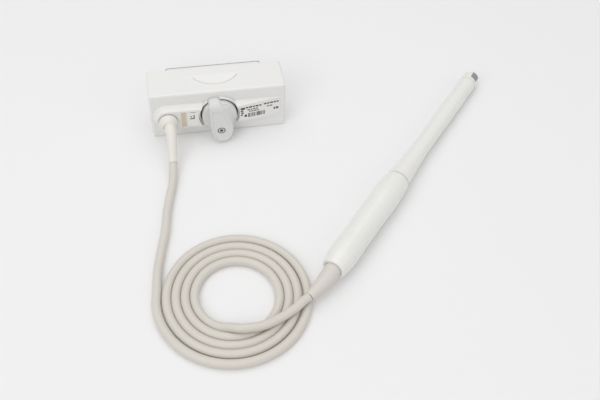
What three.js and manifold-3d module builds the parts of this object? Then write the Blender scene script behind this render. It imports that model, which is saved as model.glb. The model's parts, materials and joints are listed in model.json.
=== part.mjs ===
// An endocavity ultrasound transducer laid on a table: a system connector with a quarter-turn locking
// lever, a cable wound into a flat coil, and an end-fire probe. Millimetres, +Z up. The origin is on the
// table, under the middle of the connector and probe together. The connector's front, with the lever,
// faces -Y.
import * as THREE from "three";
import { mergeVertices } from "three/addons/utils/BufferGeometryUtils.js";
import Module from "manifold-3d";

const wasm = await Module();
wasm.setup();

// ---------------------------------------------------------------- driving dimensions
const GAP = 0.3; // clearance between neighbouring pieces

// Connector, in its own frame: x across, y from the front face towards the plug, z up from the table.
const CONNECTOR_AT = [-119.3, 92];
const HOUSING = { width: 145, depth: 41, height: 58, wall: 2.4, corner: 2.5, bevel: 1 };
const PARTING_Z = 29.2;
const AXIS_Z = 29.5; // height of the lever, shaft and plug
const GRIP = { radius: 27.4, centreY: 40, frontDepth: 3.4, endY: 27.5, padDepth: 6 };
const BOSS = { out: 8, draft: 2.8, leftX: -55, half: 15.2, rightX: 70.5, rightHalf: 13.4, rampX: 18 };
const SKIRT = { outer: 21.8, seam: 20.75, inner: 18.95, out: 3.4 };
const LEVER = {
  discRadius: 18.65, discOut: 8.4, clearRadius: 21.5, clearOut: 8.8, topOut: 13.9, endOut: 21,
};
const SHAFT = { radius: 4, endY: 58 };
const BAR = { half: 13, width: 7, thick: 4 };
const SHROUD = { width: 103, height: 40, wall: 1.6, rimY: 53.5, floorY: 38.4 };
const BLOCK = { innerX: 10.5, outerX: 48.5, half: 15, faceY: 46.8 };
const GLAND = { x: -54.7, bore: 6.8, domeCentre: 11, domeRadius: 10, domeReach: 8.6, from: -0.31, to: 0.8 };
const SCREW = { x: 64.5, frontY: 14, rearY: 32, headRadius: 2.8, shankRadius: 1.25, top: 40 };

// Cable: its diameter, and the flat ring that the wound part of it fills.
const CABLE = 8.5;
const COIL = { x: -133.4, y: -128.7, outer: 74.5, inner: 28.5, chamfer: 2.4 };

// Probe, in its own frame: x along its axis from the back of the handle to the tip, z up before the roll.
const PROBE_AT = [-37.8, -121.2, 17.5];
const PROBE = { yaw: 48.35, dip: 1.23, roll: 33 };
const HANDLE_END = 134.8;
const NECK_END = 318.5;
const TIP = { centre: 327.8, radius: 9.6 };
const LENS = { width: 8.3, thick: 1.2, backX: 322.7, proud: 0.25 };
const SHELL = 1.8;

// Outer radius of the probe along its axis, [distance, radius].
const HANDLE_PROFILE = [
  [0, 10.4], [1.2, 11.6], [4, 12.3], [9, 13], [16, 14], [26, 14.3], [44, 13.9], [62, 14],
  [84, 14.2], [104, 14.7], [118, 14.3], [126, 13.9], [131.5, 13.3], [134, 12.6], [HANDLE_END, 11.9],
];
const NECK_PROFILE = [
  [HANDLE_END + 1, 12.3], [142, 11.9], [149, 11.4], [160, 10.6], [172, 9.9], [184, 9.3], [197, 9.1],
  [220, 9.2], [250, 9.4], [285, 9.5], [305, 9.3], [NECK_END, 9.5],
];

// Centre lines, [x, y, z], in the part's own frame.
const RELIEF_ROUTE = [
  [-174, 91, 29.4], [-174, 78, 29.4], [-174, 70, 28.2], [-173.95, 62, 24.7], [-173.9, 54, 19.6],
  [-173.85, 47, 14.8], [-173.8, 41, 11],
];
const LEAD_ROUTE = [
  [-173.8, 40.4, 10.6], [-174.1, 34.5, 8], [-174.6, 28, 6], [-175.5, 20.5, 4.8], [-177.2, 12.5, 4.3],
  [-179.4, 3.5, 4.3], [-183.9, -16.5, 4.3], [-187.9, -41.4, 4.3], [-193.6, -65, 4.3], [-197.6, -81, 4.3],
];
const TAIL_ROUTE = [
  [-108.5, -165.2, 13.15], [-101.8, -164, 13.15], [-94.5, -161.7, 13.15], [-88.5, -159, 13.15],
  [-83, -156.2, 13.2], [-78, -153, 13.4], [-74.4, -150.4, 13.55], [-70.4, -146.7, 13.75],
];
const PROBE_RELIEF_ROUTE = [
  [-64.4, -144.6, 13.9], [-57.6, -139.5, 14.8], [-50.5, -134, 16.1], [-43.5, -127.6, 17.1],
  [-37.8, -121.2, 17.5], [-33.1, -116, 17.35],
];

// ---------------------------------------------------------------- materials
const finish = (color, roughness, metalness = 0) =>
  new THREE.MeshStandardMaterial({ color, roughness, metalness });
const HOUSING_WHITE = finish(0xe9e9e4, 0.5);
const BOSS_WHITE = finish(0xe6e6e0, 0.45);
const LEVER_GREY = finish(0xa9acaf, 0.4);
const SEAL_BLACK = finish(0x17181a, 0.7);
const STEEL = finish(0xb9bcc0, 0.3, 1);
const PLATED = finish(0xc3c2bc, 0.35, 1);
const BRASS = finish(0xc9a45a, 0.3, 1);
const GOLD = finish(0xd8b45c, 0.25, 1);
const INSULATOR = finish(0x2b2c2e, 0.6);
const BOARD_GREEN = finish(0x2d5b3d, 0.55);
const FLEX_AMBER = finish(0xa8662a, 0.4);
const RELIEF_CREAM = finish(0xe4dfd2, 0.6);
const RELIEF_PINK = finish(0xd9cfc8, 0.6);
const CABLE_BEIGE = finish(0xd4cec2, 0.6);
const PROBE_CREAM = finish(0xeeece6, 0.35);
const LENS_GREY = finish(0x86878b, 0.5);
const CERAMIC = finish(0x8d7f6a, 0.5);
const BACKING = finish(0x2f3034, 0.8);
const LABEL = finish(0xf1f1ee, 0.5);

// ---------------------------------------------------------------- geometry helpers
// Merges coincident vertices, drops empty triangles and turns the faces outwards.
function weld(geometry) {
  const bare = geometry.clone();
  bare.deleteAttribute("normal");
  bare.deleteAttribute("uv");
  const merged = mergeVertices(bare, 1e-4);
  const p = merged.attributes.position.array;
  const kept = [];
  let volume = 0;
  for (let i = 0; i < merged.index.count; i += 3) {
    const [a, b, c] = merged.index.array.slice(i, i + 3);
    if (a === b || b === c || a === c) continue;
    kept.push([a, b, c]);
    const [ax, ay, az] = p.slice(3 * a, 3 * a + 3);
    const [bx, by, bz] = p.slice(3 * b, 3 * b + 3);
    const [cx, cy, cz] = p.slice(3 * c, 3 * c + 3);
    volume += ax * (by * cz - bz * cy) + ay * (bz * cx - bx * cz) + az * (bx * cy - by * cx);
  }
  merged.setIndex(kept.flatMap(([a, b, c]) => (volume < 0 ? [a, c, b] : [a, b, c])));
  return merged;
}

function toSolid(geometry) {
  const g = weld(geometry);
  const mesh = new wasm.Mesh({
    numProp: 3,
    vertProperties: new Float32Array(g.attributes.position.array),
    triVerts: new Uint32Array(g.index.array),
  });
  return new wasm.Manifold(mesh);
}

function toGeometry(solid) {
  const mesh = solid.getMesh();
  const g = new THREE.BufferGeometry();
  g.setAttribute("position", new THREE.BufferAttribute(new Float32Array(mesh.vertProperties), 3));
  g.setIndex([...mesh.triVerts]);
  return g;
}

const join = (first, ...others) =>
  toGeometry(others.reduce((sum, g) => sum.add(toSolid(g)), toSolid(first)));
const cut = (first, ...tools) =>
  toGeometry(tools.reduce((rest, g) => rest.subtract(toSolid(g)), toSolid(first)));
const common = (first, ...others) =>
  toGeometry(others.reduce((rest, g) => rest.intersect(toSolid(g)), toSolid(first)));

function block(x0, x1, y0, y1, z0, z1) {
  return new THREE.BoxGeometry(x1 - x0, y1 - y0, z1 - z0).translate(
    (x0 + x1) / 2, (y0 + y1) / 2, (z0 + z1) / 2);
}

// The matrix that lays a drawing plane's two axes and its extrusion on the three axes named.
const AXES = { x: [1, 0, 0], y: [0, 1, 0], z: [0, 0, 1] };
function layOn(geometry, axes) {
  const [u, v, w] = [...axes].map((a) => new THREE.Vector3(...AXES[a]));
  return geometry.applyMatrix4(new THREE.Matrix4().makeBasis(u, v, w));
}

// Extrudes an outline, drawn in the plane of the first two axes, along the third.
function prism(outline, axes, from, to, bevel = 0, curveSegments = 2) {
  const shape = outline instanceof THREE.Shape
    ? outline
    : new THREE.Shape(outline.map(([u, v]) => new THREE.Vector2(u, v)));
  const g = new THREE.ExtrudeGeometry(shape, {
    depth: to - from - 2 * bevel,
    curveSegments,
    bevelEnabled: bevel > 0,
    bevelThickness: bevel,
    bevelSize: bevel,
    bevelOffset: -bevel,
    bevelSegments: 2,
  });
  return layOn(g.translate(0, 0, from + bevel), axes);
}

function roundedRect(width, height, radius, u = 0, v = 0) {
  const [a, b] = [width / 2 - radius, height / 2 - radius];
  const s = new THREE.Shape();
  s.absarc(u + a, v + b, radius, 0, Math.PI / 2, false);
  s.absarc(u - a, v + b, radius, Math.PI / 2, Math.PI, false);
  s.absarc(u - a, v - b, radius, Math.PI, 1.5 * Math.PI, false);
  s.absarc(u + a, v - b, radius, 1.5 * Math.PI, 2 * Math.PI, false);
  return s;
}

// A round bar along the last axis, centred at (u, v) on the first two.
function rod(radius, axes, from, to, u = 0, v = 0, sides = 24) {
  const g = new THREE.CylinderGeometry(radius, radius, to - from, sides).rotateX(Math.PI / 2);
  return layOn(g.translate(u, v, (from + to) / 2), axes);
}

// Turns a profile of [along, radius] points round the last axis, centred at (u, v).
function turned(profile, axes, u = 0, v = 0, sides = 24) {
  const points = profile.map(([along, radius]) => new THREE.Vector2(radius, along));
  const g = new THREE.LatheGeometry(points, sides).rotateX(Math.PI / 2);
  return layOn(g.translate(u, v, 0), axes);
}

// The closed profile of a shell of revolution: out along the outer points and back inside them.
function shellProfile(outer, wall) {
  const inner = outer.map(([along, radius]) => [along, radius - wall]).reverse();
  return [...outer, ...inner, outer[0]];
}

const route = (points) =>
  new THREE.CatmullRomCurve3(points.map((p) => new THREE.Vector3(...p)), false, "centripetal");

// A round cable along a route.
function tube(points, radius, steps, sides = 10) {
  const section = new THREE.Shape();
  for (let i = 0; i < sides; i++) {
    const a = (2 * Math.PI * i) / sides;
    section[i ? "lineTo" : "moveTo"](radius * Math.cos(a), radius * Math.sin(a));
  }
  return new THREE.ExtrudeGeometry(section, { steps, extrudePath: route(points), bevelEnabled: false });
}

// A turned profile, [along 0 to 1, radius], bent along a route.
function bent(profile, points, sides = 20, rings = 14) {
  const curve = route(points);
  const radiusAt = (t) => {
    const i = Math.max(1, profile.findIndex(([along]) => along >= t));
    const [[a, ra], [b, rb]] = [profile[i - 1], profile[i]];
    return ra + ((rb - ra) * (t - a)) / (b - a);
  };
  const rows = Array.from({ length: rings + 1 }, (_, i) => i / rings);
  const straight = [[0, 0], ...rows.map((t) => [t, radiusAt(t)]), [1, 0]];
  const g = turned(straight, "xyz", 0, 0, sides);
  const p = g.attributes.position;
  const up = new THREE.Vector3();
  const side = new THREE.Vector3();
  for (let i = 0; i < p.count; i++) {
    const t = Math.min(1, Math.max(0, p.getZ(i)));
    const ahead = curve.getTangentAt(t);
    side.crossVectors(ahead, new THREE.Vector3(0, 0, 1)).normalize();
    up.crossVectors(side, ahead);
    const at = curve.getPointAt(t).addScaledVector(side, p.getX(i)).addScaledVector(up, p.getY(i));
    p.setXYZ(i, at.x, at.y, at.z);
  }
  return g;
}

function place(parent, name, geometry, material) {
  const mesh = new THREE.Mesh(weld(geometry), material);
  mesh.name = name;
  parent.add(mesh);
}

// ---------------------------------------------------------------- connector housing
const part = new THREE.Group();
const connector = new THREE.Group();
connector.position.set(...CONNECTOR_AT, 0);
part.add(connector);

function housingBlock(inset) {
  const { width, depth, height, corner, bevel } = HOUSING;
  const outline = roundedRect(width - 2 * inset, height - 2 * inset, corner, 0, height / 2);
  return prism(outline, "xzy", inset, depth - inset, bevel);
}

const SCREWS_AT = [SCREW.frontY, SCREW.rearY].flatMap((y) => [[-SCREW.x, y], [SCREW.x, y]]);
const screwPosts = (radius, z0, z1, sides = 16) =>
  SCREWS_AT.map(([x, y]) => rod(radius, "xyz", z0, z1, x, y, sides));

function buildShells() {
  const { width, depth, height, wall } = HOUSING;
  const window = prism(
    roundedRect(SHROUD.width + 2.8, SHROUD.height + 2.8, 3.4, 0, AXIS_Z), "xzy", depth - 5, depth + 1);
  const frontY = GRIP.centreY - GRIP.radius;
  const gripPad = block(-GRIP.radius, GRIP.radius, frontY - 4, GRIP.endY, height - GRIP.padDepth, height);
  const hollow = cut(housingBlock(wall), ...screwPosts(3.6, 0, height), gripPad);
  const holes = [
    rod(7.4, "xzy", -1, 5, 0, AXIS_Z),
    rod(8.2, "xzy", -1, 5, GLAND.x, AXIS_Z),
  ];
  const walls = cut(housingBlock(0), hollow, window, ...holes);
  const above = block(-width, width, -9, depth + 9, PARTING_Z - GAP / 2, height + 9);
  const below = block(-width, width, -9, depth + 9, -9, PARTING_Z + GAP / 2);
  const deep = height - GRIP.frontDepth - 0.18;
  const overTop = height + 1;
  const floor = prism(
    [[frontY - 1, deep], [GRIP.endY, height], [GRIP.endY, overTop], [frontY - 1, overTop]], "yzx", -40, 40);
  const scallop = common(floor, rod(GRIP.radius, "xyz", height - 9, height + 9, 0, GRIP.centreY, 48));
  const upper = cut(walls, below, scallop, ...screwPosts(SCREW.shankRadius + 0.2, 0, SCREW.top + 1, 12));
  const lower = cut(walls, above, ...screwPosts(SCREW.shankRadius + 0.35, -1, height, 12),
    ...screwPosts(SCREW.headRadius + 0.4, -1, 4, 16));
  place(connector, "upper_shell", upper, HOUSING_WHITE);
  place(connector, "lower_shell", lower, HOUSING_WHITE);
}

function buildCaseScrews() {
  const heads = screwPosts(SCREW.headRadius, 0.8, 3.7);
  const sockets = screwPosts(1.2, 0, 2.4, 6);
  screwPosts(SCREW.shankRadius, 3, SCREW.top, 12).forEach((shank, i) => {
    place(connector, `case_screw_${i + 1}`, cut(join(heads[i], shank), sockets[i]), STEEL);
  });
}

// The raised front: a drafted boss for the cable on the left, and a ramp for the label on the right, both
// cut clear of the round lever between them.
function buildFront() {
  const { out, draft, leftX, half, rightX, rightHalf, rampX } = BOSS;
  const outline = new THREE.Shape();
  outline.absarc(leftX, AXIS_Z, half, Math.PI / 2, 1.5 * Math.PI, false);
  outline.lineTo(rightX, AXIS_Z - rightHalf);
  outline.lineTo(rightX, AXIS_Z + rightHalf);
  outline.closePath();
  const raised = new THREE.ExtrudeGeometry(outline, {
    depth: 0.01, curveSegments: 10, bevelEnabled: true, bevelThickness: out, bevelSize: draft,
    bevelOffset: -draft, bevelSegments: 1,
  });
  const drafted = layOn(raised, "xzy");
  const inFront = block(-90, 90, -20, -0.05, 0, 60);
  const leverRoom = rod(SKIRT.outer + 0.4, "xzy", -20, 5, 0, AXIS_Z, 48);
  const left = block(-90, 0, -20, 5, 0, 60);
  const right = block(0, 90, -20, 5, 0, 60);
  const rampAngle = Math.atan(out / (rightX - rampX));
  const aboveRamp = block(0, 90, -30, 0, 0, 60).rotateZ(rampAngle).translate(rampX, -out, 0);
  const typePocket = block(-41, -22.5, -out - 1, -out + 0.35, AXIS_Z - 10.6, AXIS_Z + 10.6);
  const glandBore = rod(GLAND.bore + 1.5, "xzy", -20, 5, GLAND.x, AXIS_Z);
  const boss = cut(common(drafted, inFront, left), leverRoom, glandBore, typePocket);
  place(connector, "cable_boss", boss, BOSS_WHITE);
  const onRamp = (geometry) => geometry.rotateZ(rampAngle).translate(rampX, -out, 0);
  const ratingPocket = onRamp(block(3.4, 49.5, -3, 0.35, AXIS_Z - 10.6, AXIS_Z + 10.6));
  const ramp = cut(common(drafted, inFront, right), leverRoom, aboveRamp, ratingPocket);
  place(connector, "label_ramp", ramp, BOSS_WHITE);
  const rating = onRamp(block(3.6, 49.3, 0.02, 0.28, AXIS_Z - 10.4, AXIS_Z + 10.4));
  place(connector, "rating_label", rating, LABEL);
  const type = block(-40.8, -22.7, -out + 0.02, -out + 0.28, AXIS_Z - 10.4, AXIS_Z + 10.4);
  place(connector, "type_label", type, LABEL);
}

// ---------------------------------------------------------------- plug on the housing's rear
function buildPlug() {
  const { width, height, wall, rimY, floorY } = SHROUD;
  const rim = prism(roundedRect(width, height, 2.6, 0, AXIS_Z), "xzy", floorY - 4, rimY, 0.4);
  const flange = prism(roundedRect(width + 9, height + 9, 3, 0, AXIS_Z), "xzy", floorY - 2.4, floorY - 0.4);
  const hole = roundedRect(width - 2 * wall, height - 2 * wall, 1.6, 0, AXIS_Z);
  const mouth = prism(hole, "xzy", floorY, rimY + 1);
  const behind = prism(hole, "xzy", floorY - 9, floorY - 2);
  const { innerX, outerX, half } = BLOCK;
  const windows = [-1, 1].map((side) => {
    const middle = (side * (innerX + outerX)) / 2;
    const opening = roundedRect(outerX - innerX + 0.6, 2 * half + 0.6, 1, middle, AXIS_Z);
    return prism(opening, "xzy", floorY - 9, rimY);
  });
  const shaftHole = rod(7.3, "xzy", floorY - 9, rimY, 0, AXIS_Z);
  place(connector, "plug_shroud", cut(join(rim, flange), mouth, behind, ...windows, shaftHole), BOSS_WHITE);
  const gasket = cut(
    prism(roundedRect(width + 2.2, height + 2.2, 3.2, 0, AXIS_Z), "xzy", floorY + 0.3, floorY + 2.9),
    prism(roundedRect(width + 0.4, height + 0.4, 2.8, 0, AXIS_Z), "xzy", floorY - 1, floorY + 4));
  place(connector, "shroud_gasket", gasket, SEAL_BLACK);
  const strip = cut(
    prism(roundedRect(width + 1.2, height + 1.2, 3.2, 0, AXIS_Z), "xzy", rimY - 1.9, rimY - 0.6),
    prism(roundedRect(width + 0.3, height + 0.3, 2.75, 0, AXIS_Z), "xzy", rimY - 3, rimY));
  place(connector, "grounding_strip", strip, STEEL);
  const sleeve = cut(
    join(rod(7, "xzy", 30, 46, 0, AXIS_Z, 28), rod(9.4, "xzy", 30, 32, 0, AXIS_Z, 28)),
    rod(SHAFT.radius + 0.25, "xzy", 20, 50, 0, AXIS_Z, 24));
  place(connector, "shaft_sleeve", sleeve, BRASS);
  [["left", -1], ["right", 1]].forEach(([sideName, side]) => buildContacts(sideName, side));
}

// One side's insulating block with its plate of contact rows, and the matching board behind it.
function buildContacts(sideName, side) {
  const { innerX, outerX, half, faceY } = BLOCK;
  const [x0, x1] = side < 0 ? [-outerX, -innerX] : [innerX, outerX];
  const body = join(
    block(x0, x1, 30, faceY, AXIS_Z - half, AXIS_Z + half),
    block(x0 + 1, x1 - 1, 28.6, 30, AXIS_Z - half - 2, AXIS_Z + half + 2));
  place(connector, `contact_block_${sideName}`, body, INSULATOR);
  const rows = Array.from({ length: 6 }, (_, i) => AXIS_Z - half + 4 + i * 4.4);
  const plate = block(x0 + 2, x1 - 2, faceY + 0.05, faceY + 0.45, AXIS_Z - half + 1.6, AXIS_Z + half - 1.6);
  const ribs = rows.map((z) => block(x0 + 3, x1 - 3, faceY + 0.2, faceY + 1, z - 0.9, z + 0.9));
  place(connector, `contact_pads_${sideName}`, join(plate, ...ribs), GOLD);
  const chips = [[11, 8], [22, -9], [31, 7]].map(([dx, dz]) => {
    const cx = side * (8 + dx);
    return block(cx - 3.4, cx + 3.4, 24.1, 25.6, AXIS_Z + dz - 3.4, AXIS_Z + dz + 3.4);
  });
  const edge = side < 0 ? [-52, -11] : [11, 52];
  const board = block(...edge, 25.5, 27.1, 9, 50);
  place(connector, `matching_board_${sideName}`, join(board, ...chips), BOARD_GREEN);
}

// The sheet-metal can that shields the boards, open towards the plug.
function buildShield() {
  const [w, z0, z1, y0, y1] = [55, 7.5, 51.5, 14, 34.6];
  const can = cut(
    block(-w, w, y0, y1, z0, z1),
    block(-w + 0.8, w - 0.8, y0 + 0.8, y1 + 1, z0 + 0.8, z1 - 0.8),
    rod(10, "xzy", 0, y1, 0, AXIS_Z),
    block(-w - 1, -45, y0 - 1, y0 + 8, AXIS_Z - 6, AXIS_Z + 6));
  place(connector, "shield_can", can, PLATED);
}

// ---------------------------------------------------------------- cable entry
function buildCableEntry() {
  const { x, bore, domeCentre, domeRadius, domeReach, from, to } = GLAND;
  const domeSteps = 8;
  const dome = Array.from({ length: domeSteps + 1 }, (_, i) => {
    const a = from + (i / domeSteps) * (to - from);
    return [-domeCentre - domeReach * Math.sin(a), domeRadius * Math.cos(a)];
  });
  const barrel = bore + 1.1;
  const [mouth] = dome.at(-1);
  const profile = [
    [10, barrel], [-BOSS.out - 0.3, barrel], ...dome, [mouth, bore], [10, bore], [10, barrel],
  ];
  place(connector, "cable_gland", turned(profile, "xzy", x, AXIS_Z, 32), RELIEF_CREAM);
  const nut = cut(rod(11.4, "xzy", 3, 8.5, x, AXIS_Z, 6), rod(bore + 1.4, "xzy", 0, 12, x, AXIS_Z));
  place(connector, "gland_nut", nut, BRASS);
  const relief = [[0, 6.4], [0.28, 6.4], [0.3, 6.1], [0.42, 5.6], [0.7, 5.1], [1, 4.7]];
  place(part, "connector_relief", bent(relief, RELIEF_ROUTE), RELIEF_CREAM);
}

// The wires, from the end of the cable to the boards.
function buildLoom() {
  const plan = [[GLAND.x, 0.4], [GLAND.x, 6], [GLAND.x, 11], [-53.4, 15], [-50.6, 18.5], [-49, 22.6]];
  const loom = tube(plan.map(([x, y]) => [x, y, 29.4]), 3.4, 12);
  place(connector, "wire_loom", loom, SEAL_BLACK);
}

// ---------------------------------------------------------------- lever and shaft
// The paddle, drawn from the front: a straight left side, a ridge slanting down to the right, and a round
// lower end.
function paddleOutline() {
  const outline = new THREE.Shape();
  outline.moveTo(-11, AXIS_Z + 15.5);
  outline.quadraticCurveTo(-10.4, AXIS_Z + 21, -6, AXIS_Z + 21);
  outline.quadraticCurveTo(-1.4, AXIS_Z + 21, 0.4, AXIS_Z + 16.5);
  outline.bezierCurveTo(3, AXIS_Z + 9, 8, AXIS_Z, 12.2, AXIS_Z - 9);
  outline.bezierCurveTo(13.2, AXIS_Z - 14, 11, AXIS_Z - 19, 9.6, AXIS_Z - 21.4);
  outline.quadraticCurveTo(6.5, AXIS_Z - 25.6, 0.5, AXIS_Z - 25.6);
  outline.quadraticCurveTo(-6, AXIS_Z - 25.6, -7.6, AXIS_Z - 22);
  outline.bezierCurveTo(-9, AXIS_Z - 17, -10.4, AXIS_Z - 12, -10.6, AXIS_Z - 8);
  outline.closePath();
  return outline;
}

function buildLever() {
  const { discRadius, discOut, clearRadius, clearOut, topOut, endOut } = LEVER;
  const disc = turned([
    [-0.8, 0], [-0.8, discRadius - 0.5], [-1.3, discRadius], [1.2 - discOut, discRadius],
    [0.3 - discOut, discRadius - 0.5], [-discOut, discRadius - 1.6], [-discOut, 0],
  ], "xzy", 0, AXIS_Z, 40);
  const grip = prism(paddleOutline(), "xzy", -endOut - 3, -1.4, 0, 6);
  const slope = prism([
    [-0.5, AXIS_Z + 22], [-topOut + 0.4, AXIS_Z + 22], [-endOut - 0.3, AXIS_Z - 27], [-0.5, AXIS_Z - 27],
  ], "yzx", -20, 20);
  const clearance = cut(
    rod(40, "xzy", -clearOut, 1, 0, AXIS_Z, 24), rod(clearRadius, "xzy", -20, 2, 0, AXIS_Z, 48));
  const paddle = cut(common(grip, slope), clearance);
  const flankOutline = [
    [-2, 16.5], [6, 15], [12, 10.5], [15.6, 4], [16, -3], [12.5, -10], [10, -8.5], [4, 2],
  ].map(([x, z]) => [x, z + AXIS_Z]);
  const flank = common(
    prism(flankOutline, "xzy", -14, -6),
    block(-30, 30, -13, 20, -30, 30).rotateZ(0.22).translate(0, -0.2, AXIS_Z));
  const shaftSocket = rod(SHAFT.radius + 0.3, "xzy", -6, 1, 0, AXIS_Z, 20);
  place(connector, "lever", cut(join(disc, paddle, flank), shaftSocket), LEVER_GREY);
}

// The lever's rim and the black seal inside it, both notched where the paddle crosses them.
function buildSkirt() {
  const { inner, seam, outer, out } = SKIRT;
  const notches = [
    block(-11.6, 1.2, -20, -1.05, AXIS_Z + 8, AXIS_Z + 30),
    block(-11.2, 13.2, -20, -1.05, AXIS_Z - 30, AXIS_Z - 8),
  ];
  const ring = (from, to) => turned([
    [-0.4, from], [-0.4, to], [0.4 - out, to], [-out, to - 0.4], [-out, from + 0.4], [0.4 - out, from],
    [-0.4, from],
  ], "xzy", 0, AXIS_Z, 40);
  place(connector, "lever_rim", cut(ring(seam + 0.15, outer), ...notches), LEVER_GREY);
  place(connector, "lever_seal", cut(ring(inner, seam), ...notches), SEAL_BLACK);
}

// The shaft through the case, its circlip and front bearing, and the bar that locks into the socket.
function buildShaft() {
  const groove = cut(
    rod(6, "xzy", 9.6, 10.8, 0, AXIS_Z), rod(3.2, "xzy", 9, 12, 0, AXIS_Z, 20));
  const flats = [[-9, -2.8], [2.8, 9]].map(([x0, x1]) => block(x0, x1, 53.7, 70, 0, 60));
  const shaft = cut(rod(SHAFT.radius, "xzy", -5.6, SHAFT.endY, 0, AXIS_Z, 20), groove, ...flats);
  place(connector, "lever_shaft", shaft, STEEL);
  const clip = cut(
    rod(6.4, "xzy", 9.8, 10.6, 0, AXIS_Z), rod(3.4, "xzy", 9, 12, 0, AXIS_Z, 20),
    block(-2.4, 2.4, 9, 12, AXIS_Z - 9, AXIS_Z));
  place(connector, "shaft_clip", clip, STEEL);
  const bushing = cut(
    join(rod(7.1, "xzy", -0.4, 9.2, 0, AXIS_Z, 28), rod(10, "xzy", 2.7, 5, 0, AXIS_Z, 28)),
    rod(SHAFT.radius + 0.25, "xzy", -1, 12, 0, AXIS_Z, 24));
  place(connector, "shaft_bushing", bushing, BRASS);
  const { half, width, thick } = BAR;
  const { endY } = SHAFT;
  const bar = cut(
    prism(roundedRect(width, 2 * half, 3, 0, AXIS_Z), "xzy", endY - thick, endY, 0.5),
    block(-3.1, 3.1, endY - 9, endY + 1, AXIS_Z - 4.4, AXIS_Z + 4.4));
  place(connector, "locking_bar", bar, STEEL);
}

// ---------------------------------------------------------------- cable
function buildCable() {
  place(part, "cable_lead", tube(LEAD_ROUTE, CABLE / 2, 26), CABLE_BEIGE);
  const { x, y, outer, inner, chamfer } = COIL;
  const ring = [
    [0, inner + chamfer], [0, outer - chamfer], [chamfer, outer], [CABLE - chamfer, outer],
    [CABLE, outer - chamfer], [CABLE, inner + chamfer], [CABLE - chamfer, inner], [chamfer, inner],
    [0, inner + chamfer],
  ];
  place(part, "cable_coil", turned(ring, "xyz", x, y, 44), CABLE_BEIGE);
  place(part, "cable_tail", tube(TAIL_ROUTE, CABLE / 2, 10), CABLE_BEIGE);
}

// ---------------------------------------------------------------- probe
const probe = new THREE.Group();
probe.position.set(...PROBE_AT);
probe.rotation.set(
  ...[PROBE.roll, PROBE.dip, PROBE.yaw].map((degrees) => THREE.MathUtils.degToRad(degrees)), "ZYX");
part.add(probe);

function buildHandle() {
  const reliefRoom = rod(8.75, "yzx", -3, 14, 0, 0, 28);
  const tubeWalls = turned(shellProfile(HANDLE_PROFILE, SHELL), "yzx", 0, 0, 28);
  const backWall = rod(10.3, "yzx", 0, 4, 0, 0, 28);
  const shell = cut(join(tubeWalls, backWall), reliefRoom);
  place(probe, "handle_upper_shell", cut(shell, block(-9, 200, -40, 40, -40, GAP / 2)), PROBE_CREAM);
  place(probe, "handle_lower_shell", cut(shell, block(-9, 200, -40, 40, -GAP / 2, 40)), PROBE_CREAM);
  const from = HANDLE_END + 0.25;
  const to = from + 0.5;
  const gasket = turned(
    [[from, 9.5], [from, 11.6], [to, 11.6], [to, 9.5], [from, 9.5]], "yzx", 0, 0, 32);
  place(probe, "neck_gasket", gasket, RELIEF_PINK);
  const crimp = turned([[16, 5.2], [16, 8], [18, 9.5], [28, 9.5], [28, 5.2], [16, 5.2]], "yzx", 0, 0, 24);
  place(probe, "cable_crimp", crimp, BRASS);
  const chips = [[62, -3], [78, 3.4], [92, -2.6]].map(([x, y]) =>
    block(x - 4, x + 4, y - 2.6, y + 2.6, -3, -1));
  place(probe, "handle_board", join(block(48, 108, -9, 9, -1.2, 0.4), ...chips), BOARD_GREEN);
  const relief = [[0, 4.7], [0.14, 5.4], [0.42, 7.1], [0.83, 8.4], [1, 8.4]];
  place(part, "probe_relief", bent(relief, PROBE_RELIEF_ROUTE, 24), RELIEF_PINK);
}

function headProfile(grow) {
  const arc = Array.from({ length: 9 }, (_, i) => {
    const a = (i / 8) * (Math.PI / 2);
    return [TIP.centre + (TIP.radius + grow) * Math.sin(a), (TIP.radius + grow) * Math.cos(a)];
  });
  const pole = [TIP.centre + TIP.radius + grow, 0];
  return [[NECK_END + GAP, TIP.radius - 0.1 + grow], ...arc.slice(0, -1), pole];
}

function buildNeckAndTip() {
  place(probe, "neck_shell", turned(shellProfile(NECK_PROFILE, SHELL), "yzx"), PROBE_CREAM);
  const { width, thick, backX, proud } = LENS;
  const solidHead = turned([[NECK_END + GAP, 0], ...headProfile(0)], "yzx", 0, 0, 32);
  const room = turned([
    [NECK_END - 9, 0], [NECK_END - 9, 7.6], [TIP.centre - 1, 7.6], [TIP.centre + 4, 6.4],
    [TIP.centre + 6.4, 0],
  ], "yzx", 0, 0, 24);
  const band = (extra, from) => block(from, 360, -width / 2 - extra, width / 2 + extra, -20, 20);
  place(probe, "tip_shell", cut(solidHead, room, band(0.15, backX - 0.15)), PROBE_CREAM);
  const outer = turned([[NECK_END + GAP, 0], ...headProfile(proud)], "yzx", 0, 0, 32);
  const under = TIP.radius - thick;
  const innerArc = Array.from({ length: 6 }, (_, i) => {
    const a = ((i + 1) / 6) * (Math.PI / 2);
    return [TIP.centre + under * Math.sin(a), under * Math.cos(a)];
  });
  const inner = turned(
    [[NECK_END - 9, 0], [NECK_END - 9, under], [TIP.centre, under], ...innerArc], "yzx", 0, 0, 32);
  place(probe, "acoustic_lens", cut(common(outer, band(0, backX)), inner), LENS_GREY);
}

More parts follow.
